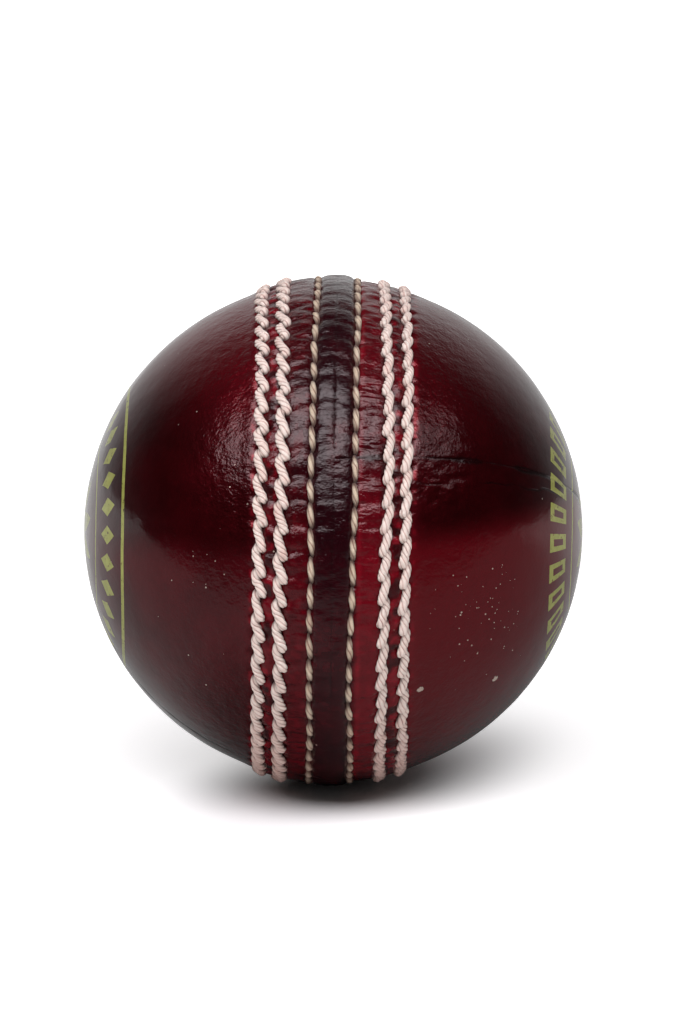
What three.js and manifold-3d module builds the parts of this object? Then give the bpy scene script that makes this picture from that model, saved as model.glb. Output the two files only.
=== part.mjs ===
// A four-piece cricket ball, in millimetres. The origin is the ball's centre. The primary seam lies in
// the plane x = 0, +X points at the middle of the right cup, -Y is the front and +Z is up.
import * as THREE from "three";
import { mergeVertices } from "three/addons/utils/BufferGeometryUtils.js";
import Module from "manifold-3d";

// Cover
const BALL_DIAMETER = 72; // over the leather, clear of the raised seam
const LEATHER_THICKNESS = 3.4;
const LINING_THICKNESS = 1;

// Primary seam: three rows of stitching on each side of the join between the two cups
const SEAM_RISE = 0.9; // how far the leather is crowned above the sphere at the join
const SEAM_SHOULDER = 2.4; // from the outer row to where the crown runs out into the sphere
const INNER_ROW_OFFSET = 2.9; // from the join
const MIDDLE_ROW_SPACING = 4.2; // from the inner row
const OUTER_ROW_SPACING = 3; // from the middle row
const CLOSING_THREAD_DIAMETER = 0.85; // the inner rows, which close the ball
const GRIP_THREAD_DIAMETER = 1.15; // the middle and outer rows
const CLOSING_THREAD_PROUD = 0.05; // above the leather beside it
const GRIP_THREAD_PROUD = 0.5;

// Quarter seams: each cup is two leather quarters joined from the inside. The angle is where the joint
// meets the primary seam, measured up from the front, and the tilt carries it past the cup's middle.
const RIGHT_QUARTER_ANGLE = 26.8;
const RIGHT_QUARTER_TILT = 5.5;
const LEFT_QUARTER_ANGLE = RIGHT_QUARTER_ANGLE + 90;
const LEFT_QUARTER_TILT = 0;
const QUARTER_THREAD_DIAMETER = 0.9;
const QUARTER_STITCH_REACH = 1.3; // how far the thread reaches to each side of the joint
const QUARTER_STITCHES = 14;
const QUARTER_THREAD_END = 4; // where the thread stops, short of the primary seam

// Quilt: yarn and cork round the core, from the outside in. The core fills what is left.
const OUTER_WINDING_THICKNESS = 2.8;
const OUTER_SLIP_THICKNESS = 2.6;
const MIDDLE_WINDING_THICKNESS = 2.8;
const INNER_SLIP_THICKNESS = 2.6;
const INNER_WINDING_THICKNESS = 2.8;
const SLIPS_PER_LAYER = 6;
const SLIP_END_RADIUS = 2.5; // the slips are cut off round, this far from the axis they meet on
const YARN_EYE_RADIUS = 1.5; // the eye left at the two poles of a winding

// Fit and facets
const PART_GAP = 0.3; // between touching pieces
const COVER_FACETS = 36; // round the ball, a multiple of 4
const COVER_ARC_STEPS = 7; // from the seam's shoulder to the middle of a cup
const COVER_INNER_ARC_STEPS = 6;
const QUILT_FACETS = 18;
const QUILT_ARC_STEPS = 10; // from pole to pole
const EYE_FACETS = 10;
const SEAM_THREAD_SIDES = 5;
const QUARTER_THREAD_SIDES = 5;
const STEPS_PER_QUARTER_STITCH = 4;
const MERGE_DISTANCE = 1e-4; // vertices nearer than this are one

// Sizes that follow. The cover's inside is faceted, so the middles of its flats lie nearer the centre than
// its radius, and the lining keeps clear of those.
const BALL_RADIUS = BALL_DIAMETER / 2;
const COVER_INNER_RADIUS = BALL_RADIUS - LEATHER_THICKNESS;
const COVER_INNER_ARC_STEP = Math.PI / 2 / COVER_INNER_ARC_STEPS;
const COVER_FLAT_RADIUS =
  COVER_INNER_RADIUS * Math.cos(Math.PI / COVER_FACETS) * Math.cos(COVER_INNER_ARC_STEP / 2);
const LINING_OUTER_RADIUS = COVER_FLAT_RADIUS - PART_GAP;
const LINING_INNER_RADIUS = LINING_OUTER_RADIUS - LINING_THICKNESS;
const QUARTER_THREAD_RADIUS = (LINING_OUTER_RADIUS + LINING_INNER_RADIUS) / 2;
const QUARTER_CHANNEL_HALF_WIDTH = QUARTER_STITCH_REACH + QUARTER_THREAD_DIAMETER / 2 + PART_GAP;
const QUILT_RADIUS = LINING_INNER_RADIUS - PART_GAP;
const MIDDLE_ROW_OFFSET = INNER_ROW_OFFSET + MIDDLE_ROW_SPACING;
const OUTER_ROW_OFFSET = MIDDLE_ROW_OFFSET + OUTER_ROW_SPACING;
const SEAM_HALF_WIDTH = OUTER_ROW_OFFSET + SEAM_SHOULDER;
const CUTTER_SIZE = 3 * BALL_DIAMETER; // reaches past the ball from any side

const X_AXIS = new THREE.Vector3(1, 0, 0);
const Y_AXIS = new THREE.Vector3(0, 1, 0);
const Z_AXIS = new THREE.Vector3(0, 0, 1);

const MATERIALS = {
  leather: new THREE.MeshStandardMaterial({ color: 0x52090f, roughness: 0.25, metalness: 0 }),
  lining: new THREE.MeshStandardMaterial({ color: 0xb08a68, roughness: 0.8, metalness: 0 }),
  gripThread: new THREE.MeshStandardMaterial({ color: 0xe8cabf, roughness: 0.75, metalness: 0 }),
  closingThread: new THREE.MeshStandardMaterial({ color: 0xc7ac98, roughness: 0.75, metalness: 0 }),
  quarterThread: new THREE.MeshStandardMaterial({ color: 0xd8cdb8, roughness: 0.8, metalness: 0 }),
  yarn: new THREE.MeshStandardMaterial({ color: 0xcdc2ab, roughness: 0.95, metalness: 0 }),
  cork: new THREE.MeshStandardMaterial({ color: 0xb5854f, roughness: 0.9, metalness: 0 }),
  core: new THREE.MeshStandardMaterial({ color: 0x7d5533, roughness: 0.85, metalness: 0 }),
};

const wasm = await Module();
wasm.setup();

// Solids: three.js geometry to manifold-3d and back

function solidOf(geometry) {
  geometry.deleteAttribute("normal");
  geometry.deleteAttribute("uv");
  const merged = mergeVertices(geometry, MERGE_DISTANCE);
  return new wasm.Manifold(
    new wasm.Mesh({
      numProp: 3,
      vertProperties: merged.attributes.position.array,
      triVerts: new Uint32Array(merged.index.array),
    }),
  );
}

function geometryOf(solid) {
  const mesh = solid.getMesh();
  const geometry = new THREE.BufferGeometry();
  geometry.setAttribute("position", new THREE.BufferAttribute(mesh.vertProperties, 3));
  geometry.setIndex(new THREE.BufferAttribute(mesh.triVerts, 1));
  geometry.computeVertexNormals();
  return geometry;
}

function addPiece(group, name, geometry, material) {
  const piece = new THREE.Mesh(geometry, material);
  piece.name = name;
  group.add(piece);
}

// Turns a shape made round the Y axis onto the seam's axis, facing the side of the ball given as 1 or -1.
function facing(geometry, side) {
  return geometry.rotateZ((-side * Math.PI) / 2);
}

// Everything beyond a plane that lies offset from the ball's centre, along the plane's normal.
function halfSpace(normal, offset) {
  const turn = new THREE.Quaternion().setFromUnitVectors(X_AXIS, normal);
  const box = new THREE.BoxGeometry(CUTTER_SIZE, CUTTER_SIZE, CUTTER_SIZE);
  return solidOf(box.translate(CUTTER_SIZE / 2 + offset, 0, 0).applyQuaternion(turn));
}

function quiltBall(radius) {
  return facing(new THREE.SphereGeometry(radius, QUILT_FACETS, QUILT_ARC_STEPS), 1);
}

function hollowBall(outerRadius, thickness) {
  return solidOf(quiltBall(outerRadius)).subtract(solidOf(quiltBall(outerRadius - thickness)));
}

function rodAlong(axis, radius) {
  const turn = new THREE.Quaternion().setFromUnitVectors(Y_AXIS, axis);
  return solidOf(new THREE.CylinderGeometry(radius, radius, CUTTER_SIZE, EYE_FACETS).applyQuaternion(turn));
}

// The seam's section: distances from the seam axis, at x from the join

const SEAM_ROWS = [
  { place: "inner", x: INNER_ROW_OFFSET, diameter: CLOSING_THREAD_DIAMETER, proud: CLOSING_THREAD_PROUD },
  { place: "middle", x: MIDDLE_ROW_OFFSET, diameter: GRIP_THREAD_DIAMETER, proud: GRIP_THREAD_PROUD },
  { place: "outer", x: OUTER_ROW_OFFSET, diameter: GRIP_THREAD_DIAMETER, proud: GRIP_THREAD_PROUD },
];

function leatherRadiusAt(x) {
  const crown = SEAM_RISE * Math.max(0, 1 - (x / SEAM_HALF_WIDTH) ** 2);
  return Math.sqrt(BALL_RADIUS ** 2 - x ** 2) + crown;
}

function threadRadiusOf(row) {
  return leatherRadiusAt(row.x) + row.proud - row.diameter / 2;
}

// A row's groove: square in section, with the gap all round the thread.
function grooveOf(row) {
  const halfWidth = row.diameter / 2 + PART_GAP;
  const near = row.x - halfWidth;
  const far = row.x + halfWidth;
  const floor = threadRadiusOf(row) - halfWidth;
  return [
    new THREE.Vector2(leatherRadiusAt(near), near),
    new THREE.Vector2(floor, near),
    new THREE.Vector2(floor, far),
    new THREE.Vector2(leatherRadiusAt(far), far),
  ];
}

function arc(radius, fromAngle, toAngle, steps) {
  return Array.from({ length: steps + 1 }, (_, i) => {
    const angle = THREE.MathUtils.lerp(fromAngle, toAngle, i / steps);
    return new THREE.Vector2(radius * Math.cos(angle), radius * Math.sin(angle));
  });
}

// One cup of the cover, from its inner pole down to the join and back over the outside to its outer pole.
function leatherCup(side) {
  const joinX = PART_GAP / 2;
  const shoulderAngle = Math.asin(SEAM_HALF_WIDTH / BALL_RADIUS);
  const joinAngle = Math.asin(joinX / COVER_INNER_RADIUS);
  const profile = [
    ...arc(COVER_INNER_RADIUS, Math.PI / 2, joinAngle, COVER_INNER_ARC_STEPS),
    new THREE.Vector2(leatherRadiusAt(joinX), joinX),
    ...SEAM_ROWS.flatMap(grooveOf),
    ...arc(BALL_RADIUS, shoulderAngle, Math.PI / 2, COVER_ARC_STEPS),
  ];
  profile.at(0).x = 0;
  profile.at(-1).x = 0;
  return solidOf(facing(new THREE.LatheGeometry(profile, COVER_FACETS), side));
}

function seamThread(row, side) {
  const section = Array.from({ length: SEAM_THREAD_SIDES + 1 }, (_, i) => {
    const angle = (2 * Math.PI * (i % SEAM_THREAD_SIDES)) / SEAM_THREAD_SIDES;
    const reach = row.diameter / 2;
    return new THREE.Vector2(threadRadiusOf(row) + reach * Math.cos(angle), row.x + reach * Math.sin(angle));
  });
  return facing(new THREE.LatheGeometry(section, COVER_FACETS), side);
}

// Quarter seams

// The plane of a cup's quarter seam: where it meets the primary seam in front, how it runs to the middle
// of the cup, and its normal.
function quarterPlane(side, angleDegrees, tiltDegrees) {
  const angle = THREE.MathUtils.degToRad(angleDegrees);
  const tilt = THREE.MathUtils.degToRad(tiltDegrees);
  const start = new THREE.Vector3(0, -Math.cos(angle), Math.sin(angle));
  const rise = new THREE.Vector3(0, Math.sin(angle), Math.cos(angle));
  const outward = X_AXIS.clone().multiplyScalar(side);
  return {
    start,
    middle: outward.clone().multiplyScalar(Math.cos(tilt)).addScaledVector(rise, Math.sin(tilt)),
    normal: rise.clone().multiplyScalar(Math.cos(tilt)).addScaledVector(outward, -Math.sin(tilt)),
  };
}

// The two halves of a cup on each side of its quarter seam, each cut back from the seam.
function splitCup(cup, plane, setback) {
  const opposite = plane.normal.clone().negate();
  return [cup.intersect(halfSpace(plane.normal, setback)), cup.intersect(halfSpace(opposite, setback))];
}

// The thread's way along a quarter seam, crossing from quarter to quarter.
class QuarterStitching extends THREE.Curve {
  constructor(plane, radius) {
    super();
    this.plane = plane;
    this.radius = radius;
  }

  getPoint(t, target = new THREE.Vector3()) {
    const { start, middle, normal } = this.plane;
    const end = Math.asin(QUARTER_THREAD_END / this.radius);
    const along = THREE.MathUtils.lerp(end, Math.PI - end, t);
    const across = (QUARTER_STITCH_REACH / this.radius) * Math.sin(2 * Math.PI * QUARTER_STITCHES * t);
    target.copy(start).multiplyScalar(Math.cos(along)).addScaledVector(middle, Math.sin(along));
    target.multiplyScalar(Math.cos(across)).addScaledVector(normal, Math.sin(across));
    return target.multiplyScalar(this.radius);
  }
}

function polygon(radius, sides) {
  return new THREE.Shape(
    Array.from({ length: sides }, (_, i) => {
      const angle = (2 * Math.PI * i) / sides;
      return new THREE.Vector2(radius * Math.cos(angle), radius * Math.sin(angle));
    }),
  );
}

function quarterThread(plane, radius) {
  return new THREE.ExtrudeGeometry(polygon(QUARTER_THREAD_DIAMETER / 2, QUARTER_THREAD_SIDES), {
    steps: QUARTER_STITCHES * STEPS_PER_QUARTER_STITCH,
    extrudePath: new QuarterStitching(plane, radius),
  });
}

// Quilt

// The wedge that holds one cork slip, set back from its neighbours on both sides.
function slipWedge(index) {
  const halfAngle = Math.PI / SLIPS_PER_LAYER;
  const apex = PART_GAP / 2 / Math.sin(halfAngle);
  const wedge = new THREE.Shape([
    new THREE.Vector2(apex, 0),
    new THREE.Vector2(apex + BALL_DIAMETER * Math.cos(halfAngle), -BALL_DIAMETER * Math.sin(halfAngle)),
    new THREE.Vector2(apex + BALL_DIAMETER * Math.cos(halfAngle), BALL_DIAMETER * Math.sin(halfAngle)),
  ]);
  const block = new THREE.ExtrudeGeometry(wedge, { depth: BALL_DIAMETER, bevelEnabled: false });
  block.translate(0, 0, -BALL_DIAMETER / 2).rotateY(Math.PI / 2);
  return solidOf(block.rotateX((2 * Math.PI * (index + 0.5)) / SLIPS_PER_LAYER));
}

function addWinding(group, name, outerRadius, thickness, eyeAxis) {
  const winding = hollowBall(outerRadius, thickness).subtract(rodAlong(eyeAxis, YARN_EYE_RADIUS));
  addPiece(group, name, geometryOf(winding), MATERIALS.yarn);
  return outerRadius - thickness - PART_GAP;
}

function addSlips(group, name, outerRadius, thickness) {
  const layer = hollowBall(outerRadius, thickness).subtract(rodAlong(X_AXIS, SLIP_END_RADIUS));
  for (let i = 0; i < SLIPS_PER_LAYER; i++) {
    addPiece(group, `${name}_${i + 1}`, geometryOf(layer.intersect(slipWedge(i))), MATERIALS.cork);
  }
  return outerRadius - thickness - PART_GAP;
}

function makeQuilt() {
  const quilt = new THREE.Group();
  let radius = addWinding(quilt, "outer_yarn_winding", QUILT_RADIUS, OUTER_WINDING_THICKNESS, X_AXIS);
  radius = addSlips(quilt, "outer_cork_slip", radius, OUTER_SLIP_THICKNESS);
  radius = addWinding(quilt, "middle_yarn_winding", radius, MIDDLE_WINDING_THICKNESS, Y_AXIS);
  radius = addSlips(quilt, "inner_cork_slip", radius, INNER_SLIP_THICKNESS);
  radius = addWinding(quilt, "inner_yarn_winding", radius, INNER_WINDING_THICKNESS, Z_AXIS);
  addPiece(quilt, "cork_core", quiltBall(radius), MATERIALS.core);
  return quilt;
}

const CUPS = [
  {
    name: "right",
    side: 1,
    plane: quarterPlane(1, RIGHT_QUARTER_ANGLE, RIGHT_QUARTER_TILT),
    quarters: ["upper", "lower"],
  },
  {
    name: "left",
    side: -1,
    plane: quarterPlane(-1, LEFT_QUARTER_ANGLE, LEFT_QUARTER_TILT),
    quarters: ["rear", "front"],
  },
];

function makeCover() {
  const cover = new THREE.Group();
  for (const { name, side, plane, quarters } of CUPS) {
    const outward = X_AXIS.clone().multiplyScalar(side);
    const liningBall = hollowBall(LINING_OUTER_RADIUS, LINING_THICKNESS);
    const liningCup = liningBall.intersect(halfSpace(outward, PART_GAP / 2));
    const leathers = splitCup(leatherCup(side), plane, PART_GAP / 2);
    const linings = splitCup(liningCup, plane, QUARTER_CHANNEL_HALF_WIDTH);
    quarters.forEach((quarter, i) => {
      addPiece(cover, `leather_${name}_${quarter}`, geometryOf(leathers[i]), MATERIALS.leather);
      addPiece(cover, `lining_${name}_${quarter}`, geometryOf(linings[i]), MATERIALS.lining);
    });
    const thread = quarterThread(plane, QUARTER_THREAD_RADIUS);
    addPiece(cover, `quarter_seam_thread_${name}`, thread, MATERIALS.quarterThread);
  }
  return cover;
}

function makeSeam() {
  const seam = new THREE.Group();
  for (const { name, side } of CUPS) {
    for (const row of SEAM_ROWS) {
      const material = row.place === "inner" ? MATERIALS.closingThread : MATERIALS.gripThread;
      addPiece(seam, `seam_thread_${name}_${row.place}`, seamThread(row, side), material);
    }
  }
  return seam;
}

const cricketBall = new THREE.Group();
cricketBall.add(makeQuilt(), makeCover(), makeSeam());

export default cricketBall;
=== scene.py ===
"""A four-piece cricket ball: leather quarters, six rows of twisted stitching, cork and yarn inside."""
import itertools
import math
from collections import namedtuple

import bmesh
import bpy
import numpy as np
from mathutils import Matrix, Vector


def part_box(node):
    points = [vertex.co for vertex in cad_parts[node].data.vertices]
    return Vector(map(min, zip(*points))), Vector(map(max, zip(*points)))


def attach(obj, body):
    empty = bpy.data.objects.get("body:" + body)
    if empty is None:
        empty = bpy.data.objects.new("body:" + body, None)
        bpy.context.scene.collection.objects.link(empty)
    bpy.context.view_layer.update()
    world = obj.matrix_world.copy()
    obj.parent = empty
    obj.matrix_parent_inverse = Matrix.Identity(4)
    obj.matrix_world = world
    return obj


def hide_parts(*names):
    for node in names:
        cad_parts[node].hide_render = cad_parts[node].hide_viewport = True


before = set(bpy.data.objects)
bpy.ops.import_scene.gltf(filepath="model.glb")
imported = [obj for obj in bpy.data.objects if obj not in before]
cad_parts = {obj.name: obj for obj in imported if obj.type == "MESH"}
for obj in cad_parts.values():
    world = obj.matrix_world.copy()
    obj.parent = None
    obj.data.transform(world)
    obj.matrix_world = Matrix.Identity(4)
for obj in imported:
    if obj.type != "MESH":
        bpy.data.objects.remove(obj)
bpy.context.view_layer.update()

MM = 0.001
BODY = "root"

# ---------------------------------------------------------------- sizes, in millimetres
BALL_RADIUS = 36.0
LEATHER_THICKNESS = 3.4
EDGE_SETBACK = 0.003         # of each piece of leather from the one that it meets
SEAM_HALF_WIDTH = 13.0       # the crown runs out here
WRINKLED_BAND = (9.9, 11.4)  # the wrinkles of the stitched band fade out between these

# The quarter seam of each cup: where it leaves the primary seam, up from the front, and its tilt.
RIGHT_SEAM_ANGLE, RIGHT_SEAM_TILT = math.radians(26.8), math.radians(5.5)
LEFT_SEAM_ANGLE, LEFT_SEAM_TILT = math.radians(116.8), 0.0
CRACK_BELOW_SEAM = math.radians(6)     # a second crack across the right cup

# Height of the leather above the sphere, against the distance from the join. The right cup's lip stands
# proud beside the join and then drops; the left cup is crowned as far as its outer rows.
CROWN = {
    -1: [(0, 0.94), (1.4, 0.88), (2.9, 0.7), (5, 0.64), (7.1, 0.64), (8.6, 0.56), (10.1, 0.38),
         (11.5, 0.14), (13, 0)],
    1: [(0, 0.94), (1.3, 0.86), (2.4, 0.68), (3.6, 0.38), (5, 0.3), (7.1, 0.36), (8.6, 0.3), (10.1, 0.22),
        (11.6, 0.08), (13, 0)],
}

# lead is the length of one turn of the plies, ply_depth the depth of the grooves between them in cord radii,
# flatten the cord's height over its width, and sink how far it is drawn into the leather.
Cord = namedtuple("Cord", "radius plies lead ply_depth flatten sink")
GRIP = Cord(radius=0.6, plies=4, lead=3.4, ply_depth=0.4, flatten=0.88, sink=0.3)
CLOSING = Cord(radius=0.48, plies=3, lead=6.0, ply_depth=0.4, flatten=0.8, sink=0.28)

# count: stitches in the row. phase: where the first hole lies, in stitches up from the front. lean: how far a
# stitch's ends lie to each side of its row, falling to the right where it is positive. trough, pit and pull:
# depths of the row's groove, its holes and the folds that run from them. wander: slow bends in the row, each
# an angle up from the front in degrees, a sideways drift, and a spread in degrees.
Row = namedtuple("Row", "node cord count phase lean trough pit pull wander")
ROWS = [
    Row("seam_thread_left_outer", GRIP, 66, 0.33, 0.44, 0.4, 0.5, 0.42, [(88, -0.6, 30)]),
    Row("seam_thread_left_middle", GRIP, 66, 0.08, 0.46, 0.4, 0.5, 0.55, [(88, -0.6, 30)]),
    Row("seam_thread_left_inner", CLOSING, 61, 0.86, 0.14, 0.4, 0.4, 0.22, [(25, -0.25, 25), (90, 0.2, 25)]),
    Row("seam_thread_right_inner", CLOSING, 61, 0.73, 0.1, 0.45, 0.4, 0.2, [(-22, -0.4, 25)]),
    Row("seam_thread_right_middle", GRIP, 66, 0.19, -0.28, 0.36, 0.5, 0.3, [(30, 0.45, 22), (90, -0.35, 30)]),
    Row("seam_thread_right_outer", GRIP, 66, 0.75, -0.28, 0.36, 0.5, 0.3, [(20, -0.1, 20), (90, -0.35, 30)]),
]


# ---------------------------------------------------------------- noise and small helpers
def noise(points, scale, seed):
    """Smooth noise from -1 to 1 at points (n, 3), with features about `scale` across."""
    points = points / scale
    cell = np.floor(points).astype(np.int64)
    part = points - cell
    fade = part * part * (3 - 2 * part)
    total = np.zeros(len(points))
    for corner in itertools.product((0, 1), repeat=3):
        at = cell + corner
        mixed = (at[:, 0] * 73856093) ^ (at[:, 1] * 19349663) ^ (at[:, 2] * 83492791) ^ (seed * 2654435)
        mixed = ((mixed ^ (mixed >> 13)) * 1274126177) & 0x7FFFFFFF
        weight = np.prod(np.where(corner, fade, 1 - fade), axis=1)
        total += weight * (mixed / 0x3FFFFFFF - 1)
    return total


def smoothstep(low, high, values):
    t = np.clip((values - low) / (high - low), 0, 1)
    return t * t * (3 - 2 * t)


def bell(values, width):
    return np.exp(-((values / width) ** 2))


def rounded_curve(points, radius=0.35, step=0.05):
    """A function through the points, with its corners rounded."""
    xs, ys = zip(*points)
    grid = np.arange(-2, SEAM_HALF_WIDTH + 4, step)
    kernel = bell(np.arange(-3 * radius, 3 * radius + step, step), radius)
    drawn = np.interp(np.abs(grid), xs, ys)
    padded = np.pad(drawn, len(kernel) // 2, mode="edge")
    smooth = np.convolve(padded, kernel / kernel.sum(), mode="valid")[: len(grid)]
    return lambda x: np.interp(x, grid, smooth)


def around(points):
    """Angle round the seam's axis, from the front (-Y) up over the top."""
    return np.arctan2(points[:, 2], -points[:, 1])


def near_angle(turn, degrees, spread):
    """1 at an angle up from the front, falling away over `spread` radians."""
    return bell(turn - math.radians(degrees), spread)


# ---------------------------------------------------------------- the rows' holes
HOLE_SEED, PULL_SEED, STITCH_SEED = 100, 200, 300      # for the first row; each row after it adds one
UNEVEN_ALONG = 0.045         # how far holes lie out of place along a row, in stitches
UNEVEN_ACROSS = 0.07         # and across it, in millimetres


def row_x(row):
    low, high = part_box(row.node)
    return (low.x + high.x) / 2 / MM


def make_holes(row, seed):
    """Angles and sideways places of a row's holes, in order round the ball."""
    rng = np.random.default_rng(seed)
    step = 2 * math.pi / row.count
    angles = (np.arange(row.count) + row.phase) * step
    angles = angles + rng.normal(0, UNEVEN_ALONG, row.count) * step
    places = row_x(row) + rng.normal(0, UNEVEN_ACROSS, row.count)
    for angle, drift, spread in row.wander:
        off = (np.degrees(angles) - angle + 180) % 360 - 180
        places = places + drift * bell(off, spread)
    return angles, places


HOLES = {row.node: make_holes(row, HOLE_SEED + i) for i, row in enumerate(ROWS)}
CROWN_CURVES = {side: rounded_curve(points) for side, points in CROWN.items()}


# ---------------------------------------------------------------- the leather's surface
HOLE_RADIUS = 0.45
FOLD_WIDTH, FOLD_REACH = 0.7, 2.2      # of the folds where the stitches pull the leather


def crown_height(x):
    return np.where(x < 0, CROWN_CURVES[-1](np.abs(x)), CROWN_CURVES[1](np.abs(x)))


def quarter_normal(side, angle, tilt):
    """The normal of a quarter seam's plane."""
    rise = np.array([0, math.sin(angle), math.cos(angle)])
    return rise * math.cos(tilt) - np.array([side, 0, 0]) * math.sin(tilt)


def row_relief(row, x, turn, seed):
    """How far a row of stitching draws the leather down, and a mask of its holes."""
    angles, places = HOLES[row.node]
    step = 2 * math.pi / row.count
    nearest = np.round(turn / step - row.phase).astype(int)
    pulls = np.random.default_rng(seed).uniform(0.4, 1.6, (row.count, 2))
    depth = np.zeros(len(x))
    pit = np.zeros(len(x))
    for offset in (-1, 0, 1):
        k = (nearest + offset) % row.count
        along = (turn - angles[k] + math.pi) % (2 * math.pi) - math.pi
        along = along * BALL_RADIUS
        across = x - places[k]
        hole = bell(np.hypot(along, across), HOLE_RADIUS)
        pit = np.maximum(pit, hole)
        reach = np.where(across < 0, pulls[k, 0], pulls[k, 1])
        bend = along - 0.25 * np.abs(across)
        fold = bell(bend, FOLD_WIDTH) * np.exp(-np.abs(across) / FOLD_REACH) * (1 - bell(across, 0.35))
        depth += row.pull * reach * fold
    centre = np.interp(turn % (2 * math.pi), angles, places, period=2 * math.pi)
    trough = bell(x - centre, row.cord.radius * 1.2)
    return depth + row.trough * trough + row.pit * pit, pit


def ragged(points, seam_distance):
    """Distance from a quarter seam whose edge wavers."""
    return seam_distance + 0.35 * noise(points, 3, 20) + 0.15 * noise(points, 1, 21)


def lower_crack(points):
    """How strongly the second crack shows, from 0 to 1. It is broken, and runs across the front only."""
    normal = quarter_normal(1, RIGHT_SEAM_ANGLE - CRACK_BELOW_SEAM, RIGHT_SEAM_TILT)
    off = points @ normal + 0.5 * noise(points, 3.5, 24) + 0.2 * noise(points, 1, 25)
    shown = smoothstep(10.5, 13, points[:, 0]) * (points[:, 1] < 0)
    shown = shown * smoothstep(-0.35, 0.1, noise(points, 4, 26))
    return bell(off, 0.14) * shown


def leather_relief(points, seam_distance):
    """Height over the sphere at points on it, and masks of the wrinkled band and of the holes."""
    x = points[:, 0]
    turn = around(points)
    away = np.abs(x)
    height = crown_height(x)
    band = 1 - smoothstep(*WRINKLED_BAND, away)
    pits = np.zeros(len(x))
    near = away < SEAM_HALF_WIDTH + 2
    inside = 1 - smoothstep(10.7, 12, away[near])
    for i, row in enumerate(ROWS):
        drop, pit = row_relief(row, x[near], turn[near], PULL_SEED + i)
        height[near] -= drop * inside
        pits[near] = np.maximum(pits[near], pit)

    # Wrinkles across the band, and lumps on the strip beside the join
    stretched = points * np.array([0.22, 1, 1])
    wrinkle = noise(stretched, 0.55, 11) * smoothstep(-0.1, 0.7, noise(points, 5, 12))
    height += 0.11 * wrinkle * band
    height += 0.09 * noise(stretched, 1.5, 13) * band * smoothstep(1.5, 3.5, away)
    lumps = noise(points, 1.6, 29) + 0.5 * noise(points, 0.8, 30)
    height += 0.07 * lumps * (1 - smoothstep(2, 3.2, away)) * near_angle(turn, 30, 0.45)

    # A crumpled patch right of the seam, and sharp creases that run across between the rows
    crumpled = bell(x - 15, 4) * near_angle(turn, 24, 0.16)
    height += crumpled * (0.16 * noise(points, 1.5, 22) + 0.07 * noise(points, 0.7, 23))
    creased = smoothstep(2.9, 4, x) * (1 - smoothstep(6.5, 7.5, x)) + 0.5 * smoothstep(3.2, 4, -x) * band
    creased *= 0.4 + 0.6 * near_angle(turn, 25, 0.5)
    height -= 0.16 * creased * smoothstep(0.25, 0.75, noise(points * np.array([0.12, 1, 1]), 0.42, 19))

    # The groove of the join, and slow waviness everywhere
    height -= (0.07 + 0.07 * noise(points, 5, 18)) * bell(away, 0.14) + 0.05 * bell(away, 0.6)
    height += 0.05 * noise(points, 9, 14) + 0.022 * noise(points, 3.2, 15) + 0.008 * noise(points, 1.3, 16)

    # The quarter seam, deeper where it meets the primary seam, and the crack below it
    crease = 0.04 * bell(seam_distance, 0.12) + 0.085 * bell(ragged(points, seam_distance), 0.2)
    height -= crease * (0.55 + 0.45 * noise(points, 2.5, 17)) * (1 + 2.5 * bell(away, 2.5))
    height -= 0.04 * lower_crack(points)
    return height, band, pits


# ---------------------------------------------------------------- leather quarters
COLUMNS = 560          # round half the ball
BAND_STEP = 0.2        # between rows of points across the seam, in millimetres
DOME_ROWS = 66
INNER_COLUMNS = 80
INNER_ROWS = 14
WELD_DISTANCE = 1e-4


def seam_shift(latitude, tilt):
    """How far round the axis a tilted quarter seam has moved at a latitude above the primary seam."""
    if tilt == 0:
        return np.zeros_like(latitude)
    return np.arcsin(np.clip(math.tan(tilt) * np.tan(latitude), 0, 1))


def quarter_rows(last):
    """Latitudes from the join to `last`, close together across the stitched band."""
    band = np.arange(EDGE_SETBACK, SEAM_HALF_WIDTH, BAND_STEP)
    shoulder = math.asin(band[-1] / BALL_RADIUS)
    dome = np.linspace(shoulder, last, DOME_ROWS)[1:]
    return np.concatenate([np.arcsin(band / BALL_RADIUS), dome])


def grid_points(latitudes, start, tilt, far, columns, radius, side):
    """Points on a sphere over one quarter, (rows, columns + 1, 3). The far one crosses the cup's middle."""
    share = np.linspace(0, 1, columns + 1)
    share = share - 0.3 * np.sin(2 * math.pi * share) / (2 * math.pi)      # closer together at both ends
    limit = math.pi / 2 - tilt
    shift = seam_shift(np.minimum(latitudes, limit), tilt)
    round_radius = np.maximum(radius * np.cos(latitudes), 1e-3)
    setback = np.minimum(EDGE_SETBACK / round_radius, 0.02) * (latitudes < limit - 1e-6)
    if far:
        low = start + math.pi - shift + setback
        high = start + 2 * math.pi + shift - setback
    else:
        low = start + shift + setback
        high = start + math.pi - shift - setback
    angle = low[:, None] + (high - low)[:, None] * share[None, :]
    lat = latitudes[:, None]
    x = side * radius * np.sin(lat) * np.ones_like(angle)
    return np.stack([x, -radius * np.cos(lat) * np.cos(angle), radius * np.cos(lat) * np.sin(angle)], axis=-1)


def zip_strip(a, b):
    """Triangles between two lists of vertex numbers that run side by side."""
    faces, i, j = [], 0, 0
    while i < len(a) - 1 or j < len(b) - 1:
        if j == len(b) - 1 or (i < len(a) - 1 and (i + 1) * (len(b) - 1) <= (j + 1) * (len(a) - 1)):
            faces.append((a[i], a[i + 1], b[j]))
            i += 1
        else:
            faces.append((a[i], b[j + 1], b[j]))
            j += 1
    return faces


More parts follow.
